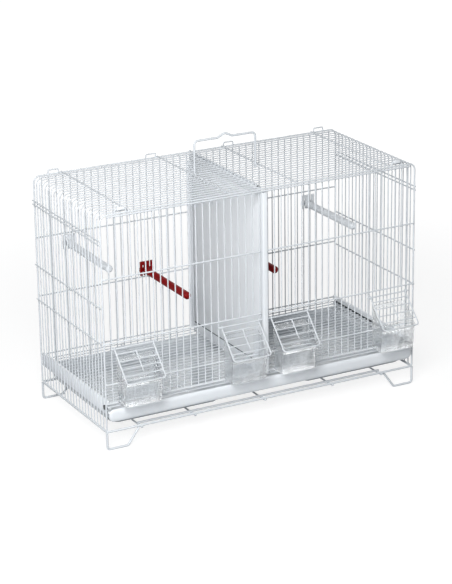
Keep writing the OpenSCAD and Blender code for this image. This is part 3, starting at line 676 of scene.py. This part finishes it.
# %% Front panels
grille_top = 77.2
foot_cross_z, sill_z, lower_z, upper_z = grille_top + 6, 117.0, 189.0, 300.0
cross_heights = (foot_cross_z, sill_z, lower_z, upper_z)
hinge_z, hinge_y = lower_z - 11, front_y - cross_out
first_upright, last_cross_end = 8, 6.75
upright_xs = [first_upright + i * front_pitch for i in range(22)]
inner_feeder_x, outer_feeder_x = upright_xs[3], upright_xs[18]
half_hinge = 3 * front_pitch + 2
low_end = foot_cross_z - 1
rows = [  # first upright, how many, and the heights that they span
    (0, 1, low_end, panel_top), (6, 10, low_end, panel_top), (21, 1, low_end, panel_top),
    (1, 5, low_end, sill_z), (16, 5, low_end, sill_z),
    (1, 5, lower_z, panel_top), (16, 5, lower_z, panel_top),
]
for side, side_name in ((-1, "left"), (1, "right")):
    parts = []
    for start, count, low, high in rows:
        x = side * upright_xs[start]
        parts.append(wires([[(x, front_y, low + 0.4), (x, front_y, high - 0.4)]], mesh_wire, copies=count,
                           step=(side * front_pitch, 0, 0)))
    lines = [[(side * last_cross_end, hinge_y, z), (side * reach, hinge_y, z)] for z in cross_heights]
    for x in (side * inner_feeder_x, side * outer_feeder_x):
        lines.append([(x - half_hinge, hinge_y, hinge_z), (x + half_hinge, hinge_y, hinge_z)])
    parts.append(wires(lines, cross_wire))
    welds = [(side * x, front_y - 1.0, z) for x in upright_xs for z in cross_heights]
    welds += [(side * upright_xs[i], front_y - 1.0, hinge_z) for i in (0, 6, 15, 21)]
    welds += [(side * reach, front_y - 1.2, z) for z in cross_heights]
    parts.append(beads(welds, bead_on_front, 41))
    place(f"front_panel_{side_name}", parts)

# %% Front top wire
top_x, top_y, top_z = 287.4, front_y - mesh_wire / 2 - edge_wire / 2 - 0.05, panel_top - edge_wire / 2
welds = [(s * x, front_y - 1.0, top_z) for s in (-1, 1) for x in upright_xs]
place("front_top_wire", [wires([span(top_x, top_y, top_z)], edge_wire), beads(welds, bead_on_front, 42)])

# %% [markdown]
# ## Loops and the handle
#
# Small standing loops are welded on the roof's edges. The handle is a 4 mm bail with a peak in the
# middle, for a ceiling hook. Its ends are curled round the roof's middle wire, so it folds flat.

# %% Loops
loop_half, loop_rise = 9.5, 7.75


def loop_route(x, y):
    foot, top = roof_z + 1.55, roof_z + loop_rise
    return [(x + s * loop_half, y, z) for s, z in ((-1, foot), (-1, top), (1, top), (1, foot))]


for name, y, xs in (("rear_loops", rear_y, (-263, -77, 77, 263)), ("front_loops", front_y, (-263, 263))):
    welds = [(x + s * loop_half, y, roof_z + 1.5) for x in xs for s in (-1, 1)]
    place(name, [wires([loop_route(x, y) for x in xs], cross_wire, bend=2.5, domed=False),
                 beads(welds, (2.0, 1.8, 0.9), 51)])

# %% Handle
half, rise, peak, peak_half = 59.0, 59.0, 7.0, 14
eye_radius, handle_wire, curl_wire = 3.05, 4, 3.4
bail = [(x, 0, roof_z + z) for x, z in (
    (-half, eye_radius), (-half, rise), (-peak_half, rise), (0, rise + peak), (peak_half, rise), (half, rise),
    (half, eye_radius))]
curls = [arc(s * half, (0, roof_z), eye_radius, 90, 335, 26) for s in (-1, 1)]
place("handle", [wires([bail], handle_wire, bend=7, domed=False), wires(curls, curl_wire)], body="handle")

# %% [markdown]
# ## The feeder guards
#
# Each guard is a bent frame with four slats and a short wire down its middle. Two eyes hang it on a
# wire above the feeder, and it leans out over the cup. It is drawn hanging straight down from its
# hinge, then tilted and moved: easier to get right than points on a slope.

# %% Guards
guard_len, guard_half, tilt = 66.0, 3 * front_pitch - 4.3, 44.0
eye_radius, slat_pitch = 2.6, 14
feeder_xs = (-outer_feeder_x, -inner_feeder_x, inner_feeder_x, outer_feeder_x)
for number, x in enumerate(feeder_xs, 1):
    rim = [(-guard_half, 0, -eye_radius), (-guard_half, 0, -guard_len), (guard_half, 0, -guard_len),
           (guard_half, 0, -eye_radius)]
    eyes = [arc(s * guard_half, (0, 0), eye_radius, -90, -330, 22) for s in (-1, 1)]
    slat_zs = [-guard_len + slat_pitch * i for i in range(1, 5)]
    slats = wires([span(guard_half, 0, slat_zs[0])], mesh_wire, copies=len(slat_zs),
                  step=(0, 0, slat_pitch), domed=False)
    spine = wires([[(0, -1.7, slat_zs[0] + 4.2), (0, -1.7, slat_zs[3])]], mesh_wire)
    welds = [(s * (guard_half - 1.2), 0, z) for s in (-1, 1) for z in slat_zs]
    welds += [(0, -0.9, z) for z in slat_zs[1:]]
    parts = [wires([rim], cross_wire, bend=5, domed=False), wires(eyes, mesh_wire), slats, spine,
             beads(welds, (1.5, 1.2, 1.5), 60 + number)]
    hinge = Matrix.Translation(Vector((x, hinge_y, hinge_z)) * MM)
    for part in parts:
        part.transform(hinge @ Matrix.Rotation(math.radians(-tilt), 4, "X"))
    place(f"guard_{number}", parts, body=f"guard_{number}")

# %% [markdown]
# ## The floor grille
#
# The grille the birds walk on is a flat mat like the panels, with 23 wires along the cage on five
# cross wires. It slides in the rails over the tray.

# %% Floor grille
grille_half, grille_z, under_z, weld_z = 297.1, 76.2, 74.25, 75.3
rear_line, front_line = 127.7, front_y + 1
long_x = grille_half - 0.4
pitch = (rear_line - front_line - 5) / 21
lines_y = [rear_line - i * pitch for i in range(22)]
cross_xs = [(i / 2 - 1) * (grille_half - cross_wire) for i in range(5)]
long_wires = wires([span(long_x, rear_line, grille_z)], mesh_wire, copies=len(lines_y), step=(0, -pitch, 0))
front_wire = wires([span(long_x, front_line, grille_z)], mesh_wire)
cross_wires = wires([[(cross_xs[0], front_y + 0.5, under_z), (cross_xs[0], rear_line + 0.5, under_z)]],
                    cross_wire, copies=len(cross_xs), step=(cross_xs[1] - cross_xs[0], 0, 0))
welds = [(x, y, weld_z) for x in cross_xs for y in lines_y + [front_line]]
place("floor_grille", [long_wires, front_wire, cross_wires, beads(welds, (1.75, 1.75, 0.9), 71)],
      body="floor_grille")

# %% [markdown]
# ## Shapes for the mouldings
#
# Plastic pieces are lofted, extruded or turned. A loft joins outlines of the same number of points,
# an extrusion is a loft of one outline along an axis, bevelled later, and a turning spins a profile.
# All three are closed, and their faces are made to point outwards.

# %% Shape helpers
def as_mesh(build, material):
    """A plain mesh from bmesh geometry in millimetres, with its faces outwards."""
    bmesh.ops.recalc_face_normals(build, faces=build.faces)
    bmesh.ops.scale(build, vec=(MM, MM, MM), verts=build.verts)
    mesh = bpy.data.meshes.new("shape")
    build.to_mesh(mesh)
    build.free()
    mesh.materials.append(material)
    return mesh


def add_bevel(shape, width, segments, angle):
    """Adds a bevel modifier: its width in millimetres, for edges sharper than an angle in degrees."""
    bevel = shape.modifiers.new("bevel", "BEVEL")
    bevel.width, bevel.segments, bevel.limit_method = width * MM, segments, "ANGLE"
    bevel.angle_limit = math.radians(angle)


def bevelled(mesh, width, segments=2, angle=32):
    """The mesh with its sharp edges rounded."""
    shape = in_scene("shape", mesh)
    add_bevel(shape, width, segments, angle)
    return plain_mesh(shape)


def mirrored(half):
    """A whole outline from its half on the positive side of the first axis. It starts with the
    mirror of the half's first point."""
    other = [(-p[0], *p[1:]) for p in half]
    return other[:1] + half + other[:0:-1]


def lofted(rings, material):
    """A closed shape through rings of points, capped at both ends."""
    build = bmesh.new()
    made = [[build.verts.new(p) for p in ring] for ring in rings]
    build.faces.new(made[0])
    build.faces.new(made[-1])
    for a, b in zip(made, made[1:]):
        for i in range(len(a)):
            j = (i + 1) % len(a)
            build.faces.new((a[i], a[j], b[j], b[i]))
    return as_mesh(build, material)


def extruded(outline, along, start, end, material):
    """An outline pulled along Y or Z. For "y" it is (x, z), and for "z" (x, y)."""
    return lofted([[(a, h, b) if along == "y" else (a, b, h) for a, b in outline] for h in (start, end)],
                  material)


def turned(profile, at, axis, material, sides=32):
    """A profile of (radius, height) spun round an axis through a point. It starts and ends on it."""
    build = bmesh.new()
    turn = Vector((0, 0, 1)).rotation_difference(Vector(axis)).to_matrix()
    rings = []
    for radius, height in profile:
        count = 1 if radius == 0 else sides
        rings.append([build.verts.new(turn @ Vector((
            radius * math.cos(2 * math.pi * k / sides), radius * math.sin(2 * math.pi * k / sides), height
        )) + Vector(at)) for k in range(count)])
    for a, b in zip(rings, rings[1:]):
        for k in range(sides):
            n = (k + 1) % sides
            build.faces.new([v for v in dict.fromkeys(
                (a[k % len(a)], a[n % len(a)], b[n % len(b)], b[k % len(b)]))])
    return as_mesh(build, material)


# %% Rounded outlines
STRAIGHT = 1.5  # half the angle at a corner, in radians, from which on there is nothing to round


def round_corner(corner, back, on, half_angle, reach, steps):
    """Points of the arc that rounds a corner. It starts and ends at reach from the corner."""
    radius = reach * math.tan(half_angle)
    centre = corner + (back + on).normalized() * (radius / math.sin(half_angle))
    start = corner + back * reach - centre
    sweep = math.pi - 2 * half_angle
    if back.x * on.y - back.y * on.x >= 0:
        sweep = -sweep
    points = []
    for k in range(steps + 1):
        cos, sin = math.cos(sweep * k / steps), math.sin(sweep * k / steps)
        points.append((centre.x + start.x * cos - start.y * sin, centre.y + start.x * sin + start.y * cos))
    return points


def rounded_outline(corners, inset=0.0, steps=5):
    """A closed outline through corners (x, y, radius), moved inwards by inset, with round corners.
    Corners run anticlockwise. A corner that points inwards has its radius grow with the inset."""
    count = len(corners)
    moved = []
    for i in range(count):
        (ax, ay, _), (bx, by, r), (cx, cy, _) = corners[i - 1], corners[i], corners[(i + 1) % count]
        d1, d2 = Vector((bx - ax, by - ay)).normalized(), Vector((cx - bx, cy - by)).normalized()
        n1, n2 = Vector((-d1.y, d1.x)), Vector((-d2.y, d2.x))
        bend = d1.x * d2.y - d1.y * d2.x
        shift = (n1 + n2) / (n1 + n2).length_squared * 2
        moved.append((Vector((bx, by)) + shift * inset, max(r - inset if bend > 0 else r + inset, 0.3)))
    outline = []
    for i in range(count):
        (a, _), (b, r), (c, _) = moved[i - 1], moved[i], moved[(i + 1) % count]
        back, on = (a - b).normalized(), (c - b).normalized()
        half_angle = back.angle(on) / 2
        if half_angle > STRAIGHT:
            outline += [tuple((b + back * r).lerp(b + on * r, k / steps)) for k in range(steps + 1)]
        else:
            reach = min(r / math.tan(half_angle), 0.48 * min((a - b).length, (c - b).length))
            outline += round_corner(b, back, on, half_angle, reach, steps)
    return outline


# %% [markdown]
# ## The side rails
#
# Each is one extruded strip with two slots, for the tray's rim and for the grille, closed by a black
# round plug at the front.

# %% Side rails
rail_outline = [(289.7, 64.0), (298.7, 64.0), (298.7, 87.7), (294.2, 87.7), (294.2, 79.7), (297.5, 79.7),
                (297.5, 72.7), (289.7, 72.7), (289.7, 71.5), (297.5, 71.5), (297.5, 65.2), (289.7, 65.2)]
for side, name in ((-1, "left_rail"), (1, "right_rail")):
    strip = extruded([(side * x, z) for x, z in rail_outline], "y", -130.4, 130.7, rail_satin)
    place(name, [bevelled(strip, 0.35)])

# %% Plugs
def plug_profile(height, radius=4.0):
    return [(0, 0), (radius - 0.4, 0), (radius, 0.4), (radius, height - 1.1), (radius - 0.5, height - 0.4),
            (radius - 1.8, height - 0.1), (0, height)]


plugs = [turned(plug_profile(3.0), (side * 298.75, -125.75, 75.85), (side, 0, 0), black_plastic)
         for side in (-1, 1)]
plugs.append(turned(plug_profile(2.5, 2.8), (0, -115.9, 407), (0, 0, 1), black_plastic))
place("plugs", plugs)

# %% [markdown]
# ## The tray
#
# A shallow pan with round corners and a finger recess, a flat rim that runs in the rails, and a
# stout front face. It is lofted from two outlines of eight corners, the pan's and the rim's: moved in
# and down, they give the outer wall, the rim and the inner wall, all of an even thickness.

# %% Tray
pan = [(-286.7, -124, 18), (-91, -124, 7), (-78, -109, 11), (78, -109, 11), (91, -124, 7),
       (286.7, -124, 18), (286.7, 127, 18), (-286.7, 127, 18)]
rim = [(-297.1, -134.6, 2), (-91, -134.6, 1), (-78, -134.6, 1), (78, -134.6, 1), (91, -134.6, 1),
       (297.1, -134.6, 2), (297.1, 127, 2), (-297.1, 127, 2)]
levels = [  # the corners, how far they move in, and the height
    (pan, 6.5, 41.3), (pan, 3.6, 41.8), (pan, 1.6, 43.2), (pan, 0.7, 45.5), (pan, 0.3, 48), (pan, 0, 64.6),
    (pan, -0.3, 65.5), (rim, 0.4, 65.5), (rim, 0, 65.9), (rim, 0, 67.6), (rim, 0.4, 68), (pan, 1.3, 68),
    (pan, 1.8, 67.7), (pan, 2.0, 67), (pan, 2.3, 49), (pan, 2.9, 46), (pan, 4.6, 44), (pan, 8, 43.3),
]
bowl = lofted([[(x, y, z) for x, y in rounded_outline(corners, inset)] for corners, inset, z in levels],
              tray_gloss)

front = mirrored([(296.5, 50.2, 10.2), (296.5, 72.7, 10.2)])
layers = [(0.8, -133.9), (0, -134.4), (0.3, -135.2), (1.0, -136.0), (2.2, -136.8), (3.9, -137.4),
          (6.0, -137.8), (8.2, -137.9)]
face = lofted([[(x, y, z) for x, z in rounded_outline(front, inset, steps=8)] for inset, y in layers],
              tray_gloss)
place("tray", [bowl, face], "tray")

# %% [markdown]
# ## The divider and its guides
#
# A thin sheet splits the cage in two. It is held in white edgings at its top and bottom, ends in a
# grip at the front, and slides in a channel under the roof and another on the rear panel.

# %% Divider
sheet = extruded(mirrored([(1, 86.5), (1, 399.2)]), "y", -134, 125, divider_sheet)
place("divider_sheet", [bevelled(sheet, 0.4)], "divider")


def edging(z_out, z_in, depth):
    """Outline of an edging: closed at z_out, with a slot for the sheet from z_in on."""
    open_z = z_out + (depth if z_in > z_out else -depth)
    return mirrored([(2, z_out), (2, open_z), (1.1, open_z), (1.1, z_in)])


for name, outline in (("divider_bottom_edging", edging(77.5, 86.4, 14)),
                      ("divider_top_edging", edging(402.2, 399.3, 7))):
    strip = extruded(outline, "y", -128.95, 125, white_moulding)
    place(name, [bevelled(strip, 0.35)], "divider")

grip = extruded(mirrored([(4.5, -139), (4.5, -129), (1.1, -129), (1.1, -134.1)]), "z", 78.5, 402.2,
                white_moulding)
place("divider_grip", [bevelled(grip, 0.9, segments=3, angle=60)], "divider")

# %% Divider guides
guide = extruded([(-3.9, 395.2), (-2.4, 395.2), (-2.4, 402.6), (2.4, 402.6), (2.4, 395.2), (3.9, 395.2),
                  (3.9, 406.95), (-3.9, 406.95)], "y", -119, 128, white_moulding)
place("divider_top_guide", [bevelled(guide, 0.35)])

channel = extruded([(-8.64, 130.7), (-8.64, 129.2), (-3.9, 129.2), (-3.9, 121), (-2.4, 121), (-2.4, 129.2),
                    (2.4, 129.2), (2.4, 121), (3.9, 121), (3.9, 129.2), (8.64, 129.2), (8.64, 130.7)],
                   "z", 79.5, 393.2, white_moulding)
place("divider_rear_guide", [bevelled(channel, 0.3)])

# %% [markdown]
# ## Loop sleeves
#
# A short slit tube is snapped on each front loop. Its cut ends are rounded over.

# %% Loop sleeves
def sleeve_ring(x, outer):
    """The C-shaped outline of a sleeve, open below, at one place along it."""
    slit, bore, centre_z = 1.15, 1.36, roof_z + loop_rise
    turn_out, turn_in = math.degrees(math.asin(slit / outer)), math.degrees(math.asin(slit / bore))
    outside = arc(x, (front_y, centre_z), outer, -90 + turn_out, 360 - 2 * turn_out, 20)
    inside = arc(x, (front_y, centre_z), bore, 270 - turn_in, -360 + 2 * turn_in, 14)
    return outside + inside


sleeve_shape = ((-7, 2.5), (-6.7, 2.95), (-6, 3.25), (6, 3.25), (6.7, 2.95), (7, 2.5))
sleeves = [lofted([sleeve_ring(x + along, radius) for along, radius in sleeve_shape], white_moulding)
           for x in (-263, 263)]
place("loop_sleeves", sleeves)

# %% [markdown]
# ## Perches
#
# Four moulded perches clip on the rear panel. The rod is turned: a long round bar with a stepped,
# rounded tip. The clip is a plate with two notches that lock over neighbouring uprights.

# %% Perches
def perch(name, gap, z, material):
    """A rod and its clip, in the middle of a gap of the rear panel, counted from the cage's middle."""
    x, back, tip = gap * front_pitch, 126.65, -35.0
    length = back - tip
    tip_steps = ((6.5, 5.2), (6.2, 4.4), (5.0, 3.2), (3.6, 2.7), (3.3, 2.3), (3.25, 0.9), (2.7, 0.25),
                 (1.6, 0.02), (0, 0))
    profile = [(0, 0), (7.2, 0), (7.2, 1.5), (6.5, 2.6)] + [(r, length - h) for r, h in tip_steps]
    rod = turned(profile, (x, back, z), (0, -1, 0), material, sides=40)
    place(f"{name}_rod", [rod])
    wire_x, notch = front_pitch / 2, 1.3
    plate = [(-12.5, -8.5), (-wire_x - notch, -8.5), (-wire_x - notch, 11.0), (-wire_x + notch, 11.0),
             (-wire_x + notch, -8.5), (12.5, -8.5), (12.5, 17.5), (wire_x + notch, 17.5),
             (wire_x + notch, 3.0), (wire_x - notch, 3.0), (wire_x - notch, 17.5), (-12.5, 17.5)]
    lug, bar = mirrored([(4.6, -4.3), (4.6, 4.3)]), mirrored([(10.6, -4.3), (10.6, 4.3)])
    clip = [bevelled(extruded([(x + a, z + b) for a, b in outline], "y", start, end, material), width, count)
            for outline, start, end, width, count in (
                (plate, 126.7, 130.7, 0.9, 3), (lug, 129.7, 134.4, 0.4, 2), (bar, 133.3, 136.3, 0.8, 3))]
    place(f"{name}_clip", clip)


perch("red_perch_left", -7, 205, red_gloss)
perch("red_perch_right", 6, 222, red_gloss)
perch("white_perch_left", -18, 279, white_moulding)
perch("white_perch_right", 18, 276, white_moulding)

# %% [markdown]
# ## The feeder cups
#
# A clear scoop: its cheeks slope under the guard, its front flares out to a pouring rim, and its back
# has a window for the bird and a lip that hangs on the sill wire. It is drawn as a thin sheet folded
# like card, then its folds are rounded and the sheet is given its wall. That keeps the wall even,
# which matters in clear plastic, where every change of thickness shows.

# %% Feeder cups
def cup_sheet(x):
    """The cup's outer skin, as flat faces."""
    w, back, front, low = 34.0, -135.5, -168.5, 84.0
    rim_z, rim_y, root_z = 129.0, -180.6, 122.0
    lip_z, lip_y, win_top, win = 118.55, -129.2, 157.2, 25.0

    slope, guard_gap = 0.9657, 12  # the closed guard's slope, and how far the cheeks stay below it

    def cheek(y):
        return hinge_z + (y - hinge_y) / slope - guard_gap

    # Corners of the back, the front, the window and the rim, with * for l or r. The last letter is
    # the height: 0 floor, L lip, T top of the window, C top of the cheek, R root of the rim.
    pairs = {
        "b*0": (w, back, low), "f*0": (w, front, low), "b*L": (w, back, lip_z), "w*L": (win, back, lip_z),
        "w*0": (win, back, low), "w*T": (win, back, win_top), "b*T": (w, back, win_top),
        "b*C": (w, back, cheek(back)), "w*C": (win, back, cheek(back)), "f*R": (w, front, root_z),
        "f*C": (w, front, cheek(front)), "r*": (w - 4, rim_y, rim_z), "lip*": (win, lip_y, lip_z),
    }
    build = bmesh.new()
    v = {key.replace("*", letter): build.verts.new((x + s * away, y, z))
         for key, (away, y, z) in pairs.items() for letter, s in (("l", -1), ("r", 1))}
    for corners in (
        "bl0 fl0 fr0 br0 wr0 wl0", "fl0 bl0 blL blT blC flC flR", "br0 fr0 frR frC brC brT brL",
        "fl0 flR frR fr0", "bl0 wl0 wlL blL", "wl0 wr0 wrL wlL", "wr0 br0 brL wrL", "blL wlL wlT blT",
        "brL brT wrT wrL", "blT wlT wlC blC", "wlT wrT wrC wlC", "wrT brT brC wrC", "flR rl rr frR",
        "flR flC rl", "frR rr frC", "wlL wrL lipr lipl",
    ):
        build.faces.new([v[key] for key in corners.split()])
    mesh = as_mesh(build, cup_clear)
    if min(mesh.polygons, key=lambda face: face.center.z).normal.z > 0:
        mesh.flip_normals()
    return mesh


def walled(mesh, fold, wall):
    """A folded sheet with its folds rounded and a wall of even thickness on the inside."""
    shape = in_scene("shape", mesh)
    add_bevel(shape, fold, 4, 20)
    thick = shape.modifiers.new("wall", "SOLIDIFY")
    thick.thickness, thick.offset, thick.use_even_offset = wall * MM, -1, True
    add_bevel(shape, 0.45, 2, 50)
    return plain_mesh(shape)


for number, x in enumerate(feeder_xs, 1):
    place(f"cup_{number}", [walled(cup_sheet(x), 4.0, 1.5)], f"cup_{number}")
